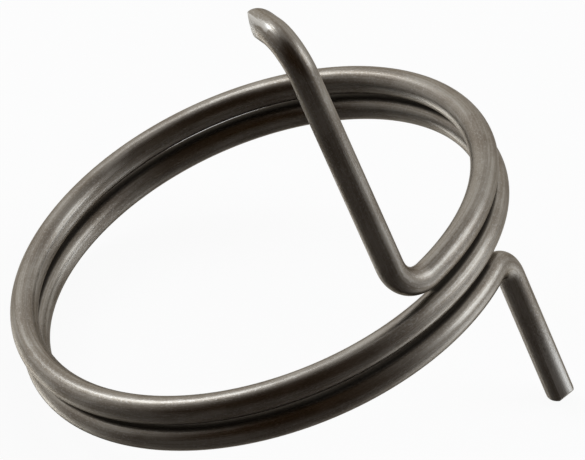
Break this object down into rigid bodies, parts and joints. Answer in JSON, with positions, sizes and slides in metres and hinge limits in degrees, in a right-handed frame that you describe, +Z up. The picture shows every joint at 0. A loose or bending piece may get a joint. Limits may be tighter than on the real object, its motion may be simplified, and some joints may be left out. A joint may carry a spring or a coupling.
{
  "type": "torsion spring",
  "caption": "Left-hand coil of round steel wire, with a short straight leg and a longer hooked leg bent out along the coil's axis.",
  "frame": {"origin": "on the table, under the middle of the spring's box, as the spring comes to rest", "axes": "+Z up from the table; +X from the coil's touching point towards the short leg's end"},
  "size_m": [0.0406, 0.0368, 0.0353],
  "materials": {
    "wire": "dark oil-tempered drawn wire, satin, with fine drawing lines"
  },
  "bodies": {
    "root": {"spring_wire": "wire"}
  },
  "joints": []
}
